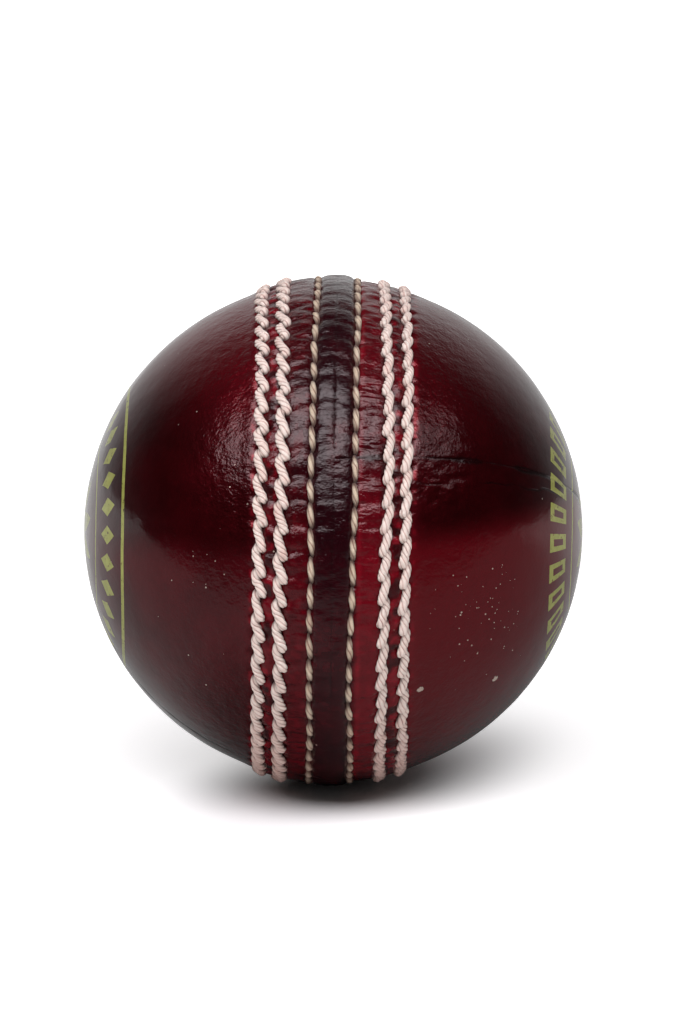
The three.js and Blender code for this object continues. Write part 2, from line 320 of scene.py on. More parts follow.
def grid_faces(index, flip):
    a, b, c, d = index[:-1, :-1], index[:-1, 1:], index[1:, 1:], index[1:, :-1]
    order = (a, d, c, b) if flip else (a, b, c, d)
    return np.stack([part.ravel() for part in order], axis=1).tolist()


def build_quarter(name, side, start, tilt, far):
    """One leather quarter as a closed shell: outer face, inner face and the walls between them."""
    limit = math.pi / 2 - tilt
    last = math.pi / 2 if far else limit
    outer_rows = quarter_rows(last)
    if far and tilt:
        outer_rows = np.sort(np.append(outer_rows, limit))
    inner_rows = np.concatenate([np.linspace(outer_rows[0], limit, INNER_ROWS), [last] * bool(far and tilt)])
    outer = grid_points(outer_rows, start, tilt, far, COLUMNS, BALL_RADIUS, side)
    inner = grid_points(inner_rows, start, tilt, far, INNER_COLUMNS, BALL_RADIUS - LEATHER_THICKNESS, side)
    outer_index = np.arange(outer.shape[0] * outer.shape[1]).reshape(outer.shape[:2])
    inner_index = outer_index.size + np.arange(inner.shape[0] * inner.shape[1]).reshape(inner.shape[:2])
    faces = grid_faces(outer_index, False) + grid_faces(inner_index, True)
    outer_edge = int(np.searchsorted(outer_rows, limit - 1e-9)) + 1
    faces += zip_strip(inner_index[0].tolist(), outer_index[0].tolist())
    for column, backwards in ((0, False), (-1, True)):
        wall = zip_strip(
            outer_index[:outer_edge, column].tolist(), inner_index[:INNER_ROWS, column].tolist())
        faces += [face[::-1] for face in wall] if backwards else wall
    points = np.concatenate([outer.reshape(-1, 3), inner.reshape(-1, 3)])
    return new_mesh(name, points, faces, weld=True)


def new_mesh(name, points, faces, weld=False):
    """A mesh whose faces all point outwards. Where weld is set, vertices that lie together are joined."""
    mesh = bpy.data.meshes.new(name)
    mesh.from_pydata(points.tolist(), [], faces)
    bm = bmesh.new()
    bm.from_mesh(mesh)
    if weld:
        bmesh.ops.remove_doubles(bm, verts=bm.verts, dist=WELD_DISTANCE)
        bmesh.ops.dissolve_degenerate(bm, edges=bm.edges, dist=WELD_DISTANCE / 10)
    bmesh.ops.recalc_face_normals(bm, faces=bm.faces)
    if bm.calc_volume(signed=True) < 0:
        bmesh.ops.reverse_faces(bm, faces=bm.faces)
    bm.to_mesh(mesh)
    bm.free()
    return mesh


def read_points(mesh):
    flat = np.empty(len(mesh.vertices) * 3)
    mesh.vertices.foreach_get("co", flat)
    return flat.reshape(-1, 3)


def write_points(mesh, points):
    mesh.vertices.foreach_set("co", (points * MM).ravel())
    mesh.update()


def paint(mesh, name, *channels):
    """Stores up to three masks, one for each vertex, as one colour attribute."""
    colours = np.ones((len(mesh.vertices), 4))
    for i, values in enumerate(channels):
        colours[:, i] = np.clip(values, 0, 1)
    layer = mesh.color_attributes.new(name, "FLOAT_COLOR", "POINT")
    layer.data.foreach_set("color", colours.ravel())


def make_piece(mesh, material, slot_name, *nodes):
    piece = bpy.data.objects.new(mesh.name, mesh)
    bpy.context.scene.collection.objects.link(piece)
    mesh.materials.append(material)
    mesh.polygons.foreach_set("use_smooth", [True] * len(mesh.polygons))
    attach(piece, BODY)
    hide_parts(*nodes)
    return piece


def leather_masks(points, band, pits, seam_distance):
    """Stain, red wear, and darkening over the leather, from 0 to 1. The darkening is a dark line in the join
    and painted shade in the holes, the cracks and between the outer rows.
    """
    x, away = points[:, 0], np.abs(points[:, 0])
    turn = around(points)
    patchy = 0.5 + 0.5 * noise(points, 6, 31)

    # Dark dye on the strip beside the join, and smudged round it where the seam has been handled
    strip = (1 - smoothstep(2.2, 3.0, away)) * (0.55 + 0.45 * patchy)
    smudge = bell(x + 4, 7) * near_angle(turn, 33, 0.42) * (0.5 + 0.5 * noise(points, 2.5, 32))
    smudge += 0.55 * bell(x - 5, 2.2) * near_angle(turn, 32, 0.2)
    stain = np.clip(strip + smudge, 0, 1)

    # Bright red where the surface has worn: the right lip, between the rows, in spots and at the rim
    edge = bell(x - 3.6, 0.35) * (0.5 + 0.5 * noise(points, 1.6, 33))
    between = (smoothstep(3.2, 4, x) * (1 - smoothstep(10, 12, x)) * 0.32
               + smoothstep(6, 8, -x) * (1 - smoothstep(9.5, 11.5, -x)) * 0.42)
    spots = smoothstep(0.1, 0.5, noise(points, 0.75, 34)) * band * (0.3 + 0.7 * smoothstep(6, 9, away))
    rim = smoothstep(0.05, 0.5, noise(points, 0.8, 37)) * bell(away - 11.2, 0.3)
    wear = np.clip(0.9 * edge + between * (0.5 + 0.5 * patchy) + 0.7 * spots + 1.0 * rim, 0, 1)

    # Dirt in the join, and painted shade in the holes, along the cracks and between the outer rows
    join = 0.7 * bell(away, 0.12) * (0.5 + 0.5 * noise(points, 3, 35))
    off = ragged(points, seam_distance)
    crack = 0.9 * bell(off, 0.25) + 0.4 * bell(off, 0.9) * (0.5 + 0.5 * noise(points, 1.6, 38))
    mottle = smoothstep(-0.1, 0.35, noise(points, 1.1, 39)) * smoothstep(6.2, 7, away) * band
    dirt_and_shade = np.clip(pits * 1.1 + join + crack + 0.9 * mottle + 0.95 * lower_crack(points), 0, 1)
    return stain, wear, dirt_and_shade


def join_wander(points):
    """Sideways drift of the join, which is never quite straight. It fades out away from the join."""
    turn = around(points)
    ring = np.stack([np.zeros(len(points)), np.cos(turn), np.sin(turn)], axis=1) * BALL_RADIUS
    drift = 0.1 * noise(ring, 4, 27) + 0.03 * noise(ring, 1.6, 28)
    return drift * bell(points[:, 0], 0.8)


def make_leather_quarter(name, side, start, tilt, far, material):
    mesh = build_quarter("cover_" + name, side, start, tilt, far)
    points = read_points(mesh)
    distance = np.linalg.norm(points, axis=1)
    outside = distance > BALL_RADIUS - LEATHER_THICKNESS / 2
    surface = points[outside]
    seam_distance = np.abs(surface @ quarter_normal(side, start, tilt))
    height, band, pits = leather_relief(surface, seam_distance)
    masks = np.zeros((3, len(points)))
    masks[:, outside] = leather_masks(surface, band, pits, seam_distance)
    points[outside] *= (1 + height / BALL_RADIUS)[:, None]
    points[outside, 0] += join_wander(surface)
    write_points(mesh, points)
    # The masks are stain, red wear, and dirt in the join with painted shade in the holes, cracks and between
    # the outer rows
    paint(mesh, "wear", *masks)
    mesh.set_sharp_from_angle(angle=math.radians(55))
    return make_piece(mesh, material, "cover_leather", "leather_" + name)


# ---------------------------------------------------------------- stitches
# A stitch's middle line: along the row in stitches, sideways in shares of its lean, and its height over
# the leather in cord radii.
GRIP_LINE = np.array([
    (0.1, 0.1, -1.8), (0.04, -0.35, -1.0), (-0.14, -0.95, -0.2), (-0.4, -0.85, 0.15), (-0.68, 0.0, 0.3),
    (-0.93, 0.8, 0.55), (-1.08, 1.1, 0.35), (-1.15, 1.05, -0.5), (-1.09, 0.8, -1.8)])
CLOSING_LINE = np.array([
    (0.02, -0.6, -2.2), (-0.1, -1.0, -1.1), (-0.28, -0.6, -0.3), (-0.5, 0.0, -0.05),
    (-0.74, 0.6, -0.3), (-0.92, 1.0, -1.1), (-1.02, 0.6, -2.2)])
STEPS_PER_STITCH = 42
POINTS_PER_PLY = 8


def spline(points, count):
    """A smooth curve through the points, at `count` even steps of its parameter."""
    ends = np.vstack([2 * points[0] - points[1], points, 2 * points[-1] - points[-2]])
    t = np.linspace(0, len(points) - 1, count)
    i = np.minimum(t.astype(int), len(points) - 2)
    f = (t - i)[:, None]
    a, b, c, d = ends[i], ends[i + 1], ends[i + 2], ends[i + 3]
    square, cube = 2 * a - 5 * b + 4 * c - d, 3 * b - a - 3 * c + d
    return 0.5 * (2 * b + (c - a) * f + square * f ** 2 + cube * f ** 3)


def stitch_path(row, start, gap, x_start, x_end, rng):
    """The middle line of one stitch, falling from the hole at angle `start` over one gap."""
    line = GRIP_LINE if row.cord is GRIP else CLOSING_LINE
    lean = row.lean * rng.uniform(0.85, 1.15)
    along = spline(line + rng.normal(0, 0.02, line.shape), STEPS_PER_STITCH)
    turn = start + along[:, 0] * gap
    share = np.clip(-along[:, 0], 0, 1)
    x = x_start + (x_end - x_start) * share + lean * along[:, 1]
    lift = along[:, 2] * row.cord.radius * row.cord.flatten + 0.05
    radius = BALL_RADIUS + (crown_height(x) - row.cord.sink) + lift
    latitude = np.arcsin(x / BALL_RADIUS)
    level = np.cos(latitude)
    outward = np.stack([np.sin(latitude), -level * np.cos(turn), level * np.sin(turn)], 1)
    return outward * radius[:, None], outward


def sweep_stitch(cord, path, outward, rng):
    """The cord round a stitch's middle line: points, each one's place across and along its plies, and how
    deep in a groove it lies."""
    tangent = np.gradient(path, axis=0)
    length = np.concatenate([[0], np.cumsum(np.linalg.norm(np.diff(path, axis=0), axis=1))])
    tangent /= np.linalg.norm(tangent, axis=1)[:, None]
    up = outward - (outward * tangent).sum(1)[:, None] * tangent
    up /= np.linalg.norm(up, axis=1)[:, None]
    side = np.cross(tangent, up)
    ply = np.arange(cord.plies * POINTS_PER_PLY) / POINTS_PER_PLY + np.zeros((len(path), 1))

    # The plies turn at an uneven rate. crest is 1 on the back of each and low in the grooves between them.
    twist = 2 * math.pi * length / (cord.lead * rng.uniform(0.85, 1.2)) + rng.uniform(0, 2 * math.pi)
    twist = twist + 0.2 * np.sin(length * rng.uniform(1.5, 3.5))
    angle = 2 * math.pi * ply / cord.plies - twist[:, None]
    crest = np.sqrt(1 - (1.9 * (ply % 1 - 0.5)) ** 2)

    # A grip stitch is thinner at both ends, a closing stitch swells towards its middle
    share = np.linspace(0, 1, len(path))
    if cord is GRIP:
        girth = rng.uniform(0.96, 1.08) - 0.14 * (1 - smoothstep(0, 0.3, share))
        girth = girth + 0.05 * np.sin(math.pi * share)
        girth = girth * (1 - rng.uniform(0.1, 0.45) * smoothstep(0.72, 1, share))
    else:
        girth = 0.45 + 0.55 * np.sin(math.pi * np.clip(share, 0.02, 0.98)) ** 1.3

    reach = cord.radius * girth[:, None] * (1 - cord.ply_depth * (1 - crest))
    wide = (reach * np.sin(angle))[..., None] * side[:, None, :]
    tall = (reach * np.cos(angle) * cord.flatten)[..., None] * up[:, None, :]
    points = path[:, None, :] + wide + tall
    along = np.broadcast_to(length[:, None] + rng.uniform(0, 50), ply.shape)
    return points, ply, along, 1 - crest


def make_stitch_row(row, material, slot_name, seed):
    """All the stitches of one row, each a closed length of twisted cord."""
    rng = np.random.default_rng(seed)
    angles, places = HOLES[row.node]
    points, faces, across, along, groove, tint = [], [], [], [], [], []
    first = 0
    for k in range(row.count):
        gap = (angles[(k + 1) % row.count] - angles[k]) % (2 * math.pi)
        path, outward = stitch_path(row, angles[k] + gap, gap, places[(k + 1) % row.count], places[k], rng)
        body, ply, length, dip = sweep_stitch(row.cord, path, outward, rng)
        rings, count = ply.shape
        index = first + np.arange(rings * count).reshape(rings, count)
        closed = np.hstack([index, index[:, :1]])
        faces += grid_faces(closed, False)
        faces += [index[0][::-1].tolist(), index[-1].tolist()]
        points.append(body.reshape(-1, 3))
        across.append(ply.ravel())
        along.append(length.ravel())
        groove.append(dip.ravel())
        tint.append(np.full(rings * count, rng.uniform(0, 1)))
        first += rings * count
    joined = np.concatenate(points)
    mesh = new_mesh(row.node.replace("seam_thread", "stitches"), joined * MM, faces)
    across, along = np.concatenate(across), np.concatenate(along)
    height = np.linalg.norm(joined, axis=1) - BALL_RADIUS - crown_height(joined[:, 0])
    paint(mesh, "cord", np.concatenate(groove), np.concatenate(tint), smoothstep(-0.45, 0.35, height))
    fibre = mesh.attributes.new("fibre", "FLOAT_VECTOR", "POINT")
    fibre.data.foreach_set("vector", np.stack([across, along, np.zeros(len(across))], 1).ravel())
    return make_piece(mesh, material, slot_name, row.node)


# ---------------------------------------------------------------- materials
def node(tree, kind, inputs=None, **settings):
    made = tree.nodes.new("ShaderNode" + kind)
    for key, value in settings.items():
        setattr(made, key, value)
    for key, value in (inputs or {}).items():
        if isinstance(value, bpy.types.NodeSocket):
            tree.links.new(value, made.inputs[key])
        else:
            made.inputs[key].default_value = value
    return made


def calc(tree, operation, *values, clamp=False):
    return node(tree, "Math", dict(enumerate(values)), operation=operation, use_clamp=clamp).outputs[0]


def inverse(tree, value):
    return calc(tree, "SUBTRACT", 1.0, value)


def mix(tree, factor, a, b):
    made = node(tree, "Mix", {"Factor": factor}, data_type="RGBA")
    for key, value in ((6, a), (7, b)):
        if isinstance(value, bpy.types.NodeSocket):
            tree.links.new(value, made.inputs[key])
        else:
            made.inputs[key].default_value = value
    return made.outputs[2]


def shade(tree, strength, base, colour, factor=None):
    """colour laid over base where strength is 1, or as far as `factor` where that is given."""
    if factor is not None:
        strength = calc(tree, "MULTIPLY", strength, factor)
    return mix(tree, strength, base, colour)


def ramp(tree, value, low, high):
    """value from low to high, as 0 to 1 with soft ends."""
    made = node(tree, "MapRange", {"Value": value, "From Min": low, "From Max": high},
                interpolation_type="SMOOTHSTEP")
    return made.outputs[0]


def split(tree, vector):
    return node(tree, "SeparateXYZ", {"Vector": vector}).outputs


def painted(tree, name):
    """The three masks that `paint` stored under a name."""
    masks = node(tree, "Attribute", attribute_name=name)
    return node(tree, "SeparateColor", {"Color": masks.outputs["Color"]}).outputs


def bump(tree, strength, distance, height, below=None):
    """A normal that `height` disturbs by `distance` metres, on top of the bump `below` it."""
    inputs = {"Strength": strength, "Distance": distance, "Height": height}
    if below is not None:
        inputs["Normal"] = below
    return node(tree, "Bump", inputs).outputs[0]


def finish_shader(tree, shader, colour, normal):
    tree.links.new(colour, shader.inputs["Base Color"])
    tree.links.new(normal, shader.inputs["Normal"])


def noise_at(tree, place, scale, detail=2.0, roughness=0.5):
    made = node(tree, "TexNoise",
                {"Vector": place, "Scale": scale, "Detail": detail, "Roughness": roughness})
    return made.outputs["Fac"]


def new_material(name, **settings):
    """A material with a principled shader; settings are its constant values."""
    material = bpy.data.materials.new(name)
    material.use_nodes = True
    tree = material.node_tree
    shader = tree.nodes["Principled BSDF"]
    for key, value in settings.items():
        shader.inputs[key.replace("_", " ")].default_value = value
    return material, tree, shader


def object_place(tree):
    return node(tree, "TexCoord").outputs["Object"]


def stamp_mask(tree, place):
    """Plain gold ornament on both cups: rings, lozenges, blocks and petals round the middle of each cup.
    Radii and widths are in millimetres."""
    x, y, z = split(tree, place)
    reach = calc(tree, "SQRT", calc(tree, "ADD", calc(tree, "POWER", y, 2.0), calc(tree, "POWER", z, 2.0)))
    angle = calc(tree, "ARCTAN2", z, y)

    def ring(radius, width):
        return calc(tree, "COMPARE", reach, radius * MM, width * MM / 2)

    def repeat(count):
        turned = calc(tree, "MULTIPLY", angle, count / (2 * math.pi))
        return calc(tree, "ABSOLUTE", calc(tree, "SUBTRACT", calc(tree, "FRACT", turned), 0.5))

    def band_distance(radius, half):
        off = calc(tree, "ABSOLUTE", calc(tree, "SUBTRACT", reach, radius * MM))
        return calc(tree, "DIVIDE", off, half * MM)

    def lozenges(count, radius, half, share):
        wide = calc(tree, "DIVIDE", repeat(count), share)
        return calc(tree, "LESS_THAN", calc(tree, "ADD", wide, band_distance(radius, half)), 1.0)

    def blocks(count, radius, half, share):
        inside = calc(tree, "LESS_THAN", repeat(count), share)
        return calc(tree, "MULTIPLY", inside, calc(tree, "LESS_THAN", band_distance(radius, half), 1.0))

    def petals(count, inner, outer):
        edge = calc(tree, "MULTIPLY_ADD", repeat(count), -2 * (outer - inner) * MM, outer * MM)
        return calc(tree, "MULTIPLY", calc(tree, "LESS_THAN", reach, edge),
                    calc(tree, "GREATER_THAN", reach, inner * 0.6 * MM))

    def union(*masks):
        total = masks[0]
        for mask in masks[1:]:
            total = calc(tree, "MAXIMUM", total, mask)
        return total

    left = union(ring(20.4, 0.62), ring(12.4, 0.4), lozenges(26, 16.5, 1.9, 0.34), petals(10, 4.5, 9.5))
    hollow = inverse(tree, blocks(26, 16.5, 1.35, 0.12))
    frames = calc(tree, "MULTIPLY", blocks(26, 16.5, 2.3, 0.3), hollow)
    right = union(frames, ring(11.6, 0.5), petals(8, 3.5, 8.5))
    on_right = calc(tree, "GREATER_THAN", x, 0.0)
    both = calc(tree, "ADD", calc(tree, "MULTIPLY", right, on_right),
                calc(tree, "MULTIPLY", left, inverse(tree, on_right)))
    foil = ramp(tree, noise_at(tree, place, 1500.0, 3.0, 0.7), 0.3, 0.42)
    return calc(tree, "MULTIPLY", both, foil)


# Patches of pale flecks: centre and reach in metres, and the share of cells at the centre with no fleck.
FLECKS = [((0.0212, -0.0283, -0.0068), 0.011, 0.2), ((-0.018, -0.03, 0.004), 0.012, 0.9)]
FLECK_CELLS = 1600.0
BARE_CELLS = 0.992           # the share of cells with no fleck away from the patches
NICKS = [(0.02325, -0.02182, -0.0167), (0.01255, -0.02927, -0.0168)]
NICK_RADIUS = 0.00098


def fleck_mask(tree, place):
    """Pale flecks gathered in two patches and thinly everywhere, and two small nicks."""
    def distance(centre):
        return node(tree, "VectorMath", {0: place, 1: centre}, operation="DISTANCE").outputs["Value"]

    cells = node(tree, "TexVoronoi", {"Vector": place, "Scale": FLECK_CELLS}).outputs
    chance, other, _ = node(tree, "SeparateColor", {"Color": cells["Color"]}).outputs
    needed = BARE_CELLS
    for centre, reach, bare in FLECKS:
        close = inverse(tree, ramp(tree, distance(centre), 0.0, reach))
        needed = calc(tree, "MULTIPLY_ADD", close, bare - 1.0, needed)
    size = calc(tree, "MULTIPLY_ADD", other, 0.16, 0.05)
    mask = calc(tree, "MULTIPLY", calc(tree, "GREATER_THAN", chance, needed),
                calc(tree, "LESS_THAN", cells["Distance"], size))
    uneven = calc(tree, "MULTIPLY", noise_at(tree, place, 2600.0, 3.0, 0.7), 0.0011)
    for centre in NICKS:
        away = calc(tree, "ADD", distance(centre), uneven)
        mask = calc(tree, "MAXIMUM", mask, calc(tree, "LESS_THAN", away, NICK_RADIUS))
    return mask


# Dyes and finishes, each a dark and a light tone where the leather is cloudy
DYE = (0.046, 0.0006, 0.0023, 1), (0.076, 0.0010, 0.0040, 1)
# Painted light: a brighter, warmer red that stands in for the floor's light and reflection on the lower
# leather, redder on the right cup
DYE_WITH_PAINTED_FLOOR_LIGHT = (0.062, 0.0009, 0.0034, 1), (0.092, 0.0014, 0.0052, 1)
PAINTED_FLOOR_LIGHT_RIGHT = (0.135, 0.0013, 0.0056, 1)
# Painted highlight: a brighter red high up on the cups, the glow of the light overhead
PAINTED_OVERHEAD_GLOW = (0.17, 0.0015, 0.0080, 1)
DYE_SPECKS = (0.10, 0.002, 0.006, 1)
WORN_RED = (0.22, 0.004, 0.012, 1)
DARK_STAIN = (0.012, 0.0015, 0.0035, 1)
# Painted shade in the holes, the cracks and between the outer rows, and dirt in the join
DIRT_AND_PAINTED_SHADE = (0.010, 0.001, 0.0015, 1)
BARE_HIDE = (0.62, 0.50, 0.42, 1)
GOLD = (0.27, 0.27, 0.05, 1), (0.46, 0.48, 0.12, 1)

# In metres: the painted horizon, where the painted glow and reflection of the floor on the lower leather
# gives way to the upper, how fast that horizon rises to the right, and where the stitched band ends.
PAINTED_HORIZON = (0.002, 0.007)
PAINTED_HORIZON_RISE = 0.08
BAND_END = (0.009, 0.013)


def leather_dye(tree, place, below, in_band):
    """The red of the leather, deeper above. Below a painted horizon it is a brighter, warmer red, a painted
    glow and reflection of the floor, more so on the right cup; high up on the left it has a painted glow from
    the light overhead.
    """
    x, _, z = split(tree, place)
    cloud = ramp(tree, noise_at(tree, place, 110.0, 4.0, 0.6), 0.3, 0.72)
    # Painted floor light: a warmer, brighter red for under the painted horizon, redder still on the right cup
    painted_floor_light = mix(tree, cloud, *DYE_WITH_PAINTED_FLOOR_LIGHT)
    painted_floor_light = shade(tree, ramp(tree, x, 0.0, 0.012), painted_floor_light, PAINTED_FLOOR_LIGHT_RIGHT)
    # Painted glow of the overhead light: high up, off the stitched band, and weaker on the right cup
    high = calc(tree, "MULTIPLY", ramp(tree, z, 0.017, 0.032), inverse(tree, in_band))
    on_left = calc(tree, "MULTIPLY_ADD", ramp(tree, x, -0.005, 0.02), -0.55, 1.0)
    high = calc(tree, "MULTIPLY", high, on_left)
    red = shade(tree, high, mix(tree, cloud, *DYE), PAINTED_OVERHEAD_GLOW)
    # Under the painted horizon the painted floor light takes the place of the dye
    return mix(tree, below, red, painted_floor_light)


def leather_grain(tree, place, from_seam, in_band):
    """Pores, shallow folds and, on the stitched band, fine crinkles that run across it."""
    handled = inverse(tree, ramp(tree, from_seam, 0.012, 0.026))
    cells = node(tree, "TexVoronoi", {"Vector": place, "Scale": 2300.0}, feature="SMOOTH_F1").outputs
    skin = calc(tree, "ADD", calc(tree, "MULTIPLY", cells["Distance"], 0.6),
                noise_at(tree, place, 3600.0, 2.0, 0.6))
    skin = calc(tree, "MULTIPLY", skin, calc(tree, "MULTIPLY_ADD", handled, 0.8, 0.2))
    normal = bump(tree, 0.6, 0.00007, skin)
    folds = calc(tree, "MULTIPLY", noise_at(tree, place, 650.0, 3.0, 0.55),
                 calc(tree, "MULTIPLY_ADD", handled, 0.85, 0.15))
    normal = bump(tree, 0.6, 0.0003, folds, normal)
    squeezed = node(tree, "VectorMath", {0: place, 1: (0.55, 1.0, 1.0)}, operation="MULTIPLY").outputs[0]
    crinkle = noise_at(tree, squeezed, 1900.0, 4.0, 0.62)
    return bump(tree, calc(tree, "MULTIPLY", in_band, 0.6), 0.00016, crinkle, normal)


def leather_material():
    """Dyed and lacquered leather: a red gloss under a thin clear coat, with gold stamped on the cups."""
    material, tree, shader = new_material("polished_oxblood_leather", Specular_IOR_Level=0.2, IOR=1.45,
                                          Coat_Weight=0.9, Coat_Roughness=0.08, Coat_IOR=1.4)
    place = object_place(tree)
    # Stain, red wear, and dirt in the join with painted shade in the holes, cracks and between the outer rows
    stain, wear, dirt_and_shade = painted(tree, "wear")
    x, _, z = split(tree, place)
    # below is 1 under the painted horizon, where the leather takes the painted floor light; the metallic
    # gloss is lower there too
    below = inverse(tree, ramp(tree, calc(tree, "MULTIPLY_ADD", x, -PAINTED_HORIZON_RISE, z), *PAINTED_HORIZON))
    from_seam = calc(tree, "ABSOLUTE", x)
    in_band = inverse(tree, ramp(tree, from_seam, *BAND_END))
    fine = noise_at(tree, place, 900.0, 3.0, 0.6)
    stamp = stamp_mask(tree, place)

    # The dye, with painted floor light under the painted horizon and a painted glow of the overhead light
    # high up
    colour = leather_dye(tree, place, below, in_band)
    colour = shade(tree, ramp(tree, fine, 0.5, 0.75), colour, DYE_SPECKS, 0.2)
    colour = shade(tree, wear, colour, WORN_RED)
    colour = shade(tree, stain, colour, DARK_STAIN, 0.88)
    # Painted shade in the holes, the cracks and between the outer rows, and dirt in the join
    colour = shade(tree, dirt_and_shade, colour, DIRT_AND_PAINTED_SHADE, 0.85)
    colour = shade(tree, fleck_mask(tree, place), colour, BARE_HIDE)
    colour = shade(tree, stamp, colour, mix(tree, fine, *GOLD))

    gloss = calc(tree, "MULTIPLY_ADD", below, -0.35, 0.8)
    gloss = calc(tree, "MULTIPLY", gloss, calc(tree, "MULTIPLY_ADD", in_band, -0.8, 1.0))
    gloss = calc(tree, "MULTIPLY", gloss, inverse(tree, calc(tree, "MULTIPLY", stamp, 0.7)))
    tree.links.new(gloss, shader.inputs["Metallic"])

    rough = node(tree, "MapRange", {"Value": noise_at(tree, place, 300.0, 3.0, 0.6),
                                    "To Min": 0.36, "To Max": 0.46}).outputs[0]
    rough = calc(tree, "ADD", rough, calc(tree, "MULTIPLY", dirt_and_shade, 0.1))
    rough = calc(tree, "MULTIPLY_ADD", in_band, -0.2, rough)
    rough = calc(tree, "ADD", rough, calc(tree, "MULTIPLY", stamp, 0.15))
    tree.links.new(rough, shader.inputs["Roughness"])

    normal = leather_grain(tree, place, from_seam, in_band)
    tree.links.new(normal, shader.inputs["Coat Normal"])
    finish_shader(tree, shader, colour, normal)
    return material


# The light and dark tones of each cord, and a third for its pink stain, also used for painted shade in the
# grooves and low on the ball
GRIP_TONES = (0.97, 0.89, 0.82, 1), (0.86, 0.67, 0.59, 1), (0.66, 0.31, 0.25, 1)
CLOSING_TONES = (0.94, 0.82, 0.64, 1), (0.72, 0.56, 0.40, 1), (0.40, 0.19, 0.12, 1)
# Painted shade in the grooves between the plies
PAINTED_GROOVE_SHADE = (0.20, 0.08, 0.07, 1)
DEEP_SHADE = (0.05, 0.008, 0.008, 1)


def cord_material(name, light, dark, stain_and_shade):
    """Waxed twisted cord: fine fibres along the plies, pink stain in patches, dye rubbed into the grooves
    with painted shade there, and painted shade low on the ball and where it sinks into the leather.
    """
    material, tree, shader = new_material(name, Roughness=0.72, Specular_IOR_Level=0.25, IOR=1.45,
                                          Sheen_Weight=0.12, Sheen_Roughness=0.5)
    place = object_place(tree)
    groove, tint, height = painted(tree, "cord")
    fibre = node(tree, "Attribute", attribute_name="fibre").outputs["Vector"]
    stretched = node(tree, "VectorMath", {0: fibre, 1: (7.0, 0.9, 1.0)}, operation="MULTIPLY").outputs[0]
    strands = noise_at(tree, stretched, 1.0, 4.0, 0.65)
    patches = noise_at(tree, place, 420.0, 3.0, 0.6)
    colour = mix(tree, ramp(tree, strands, 0.3, 0.7), dark, light)
    pink = calc(tree, "MULTIPLY_ADD", tint, 0.4, 0.05)
    colour = shade(tree, ramp(tree, patches, 0.45, 0.75), colour, stain_and_shade, pink)
    # Pink dye rubbed into the grooves, with painted shade
    colour = shade(tree, ramp(tree, groove, 0.1, 0.4), colour, stain_and_shade, 0.3)
    # Painted shade in the grooves between the plies, stronger in patches
    groove_shade = calc(tree, "MULTIPLY_ADD", ramp(tree, patches, 0.35, 0.65), 0.55, 0.15)
    colour = shade(tree, ramp(tree, groove, 0.3, 0.62), colour, PAINTED_GROOVE_SHADE, groove_shade)
    # Painted shade: the cord is darker and pinker towards the bottom of the ball
    low = ramp(tree, split(tree, place)["Z"], -0.016, -0.036)
    colour = shade(tree, low, colour, stain_and_shade, 0.45)
    colour = shade(tree, inverse(tree, height), colour, DEEP_SHADE, 0.85)
    finish_shader(tree, shader, colour, bump(tree, 0.8, 0.00018, strands))
    return material


# The light and dark tones of what is inside
CUT_CORK = (0.50, 0.30, 0.13, 1), (0.30, 0.16, 0.06, 1)
MOULDED_CORK = (0.24, 0.13, 0.06, 1), (0.10, 0.05, 0.025, 1)
LINEN = (0.62, 0.55, 0.42, 1), (0.45, 0.38, 0.27, 1)
YARN = (0.66, 0.58, 0.45, 1), (0.28, 0.23, 0.16, 1)
SUEDE = (0.52, 0.36, 0.22, 1), (0.36, 0.22, 0.12, 1)
SUEDE_NAP = (0.25, 0.14, 0.07, 1)
SPECKLED_STREAKS = (0.10, 0.045, 0.02, 1)


def speckled_material(name, light, dark):
    """Matt and speckled, with darker streaks: cork, and the waxed linen inside."""
    material, tree, shader = new_material(name, Roughness=0.85, Specular_IOR_Level=0.2)
    place = object_place(tree)
    cells = node(tree, "TexVoronoi", {"Vector": place, "Scale": 700.0}).outputs["Distance"]
    streaks = ramp(tree, noise_at(tree, place, 260.0, 4.0, 0.7), 0.55, 0.68)
    colour = mix(tree, ramp(tree, cells, 0.1, 0.7), dark, light)
    colour = shade(tree, streaks, colour, SPECKLED_STREAKS)
    finish_shader(tree, shader, colour, bump(tree, 0.6, 0.0002, cells))
    return material


def yarn_material(name, axis):
    """Yarn wound round the ball, in fine ridges that cross."""
    material, tree, shader = new_material(name, Roughness=0.95, Specular_IOR_Level=0.15, Sheen_Weight=0.25)
    place = object_place(tree)
    turned = node(tree, "Mapping", {"Vector": place, "Rotation": axis}).outputs[0]
    waves = {"Vector": turned, "Scale": 260.0, "Distortion": 1.5, "Detail": 2.0}
    one = node(tree, "TexWave", waves).outputs["Color"]
    other = node(tree, "TexWave", waves, bands_direction="DIAGONAL").outputs["Color"]
    ridges = mix(tree, ramp(tree, noise_at(tree, place, 160.0), 0.45, 0.55), one, other)
    light, dark = YARN
    colour = mix(tree, ridges, dark, light)
    finish_shader(tree, shader, colour, bump(tree, 0.8, 0.0004, ridges))
    return material


def lining_material():
    """Undyed split leather: suede nap and faint fibres."""
    material, tree, shader = new_material("undyed_lining", Roughness=0.9, Specular_IOR_Level=0.2)
    place = object_place(tree)
    nap = noise_at(tree, place, 1400.0, 5.0, 0.7)
    light, dark = SUEDE
    colour = mix(tree, noise_at(tree, place, 120.0, 3.0, 0.6), dark, light)
    colour = shade(tree, nap, colour, SUEDE_NAP, 0.4)
    finish_shader(tree, shader, colour, bump(tree, 0.5, 0.0002, nap))
    return material


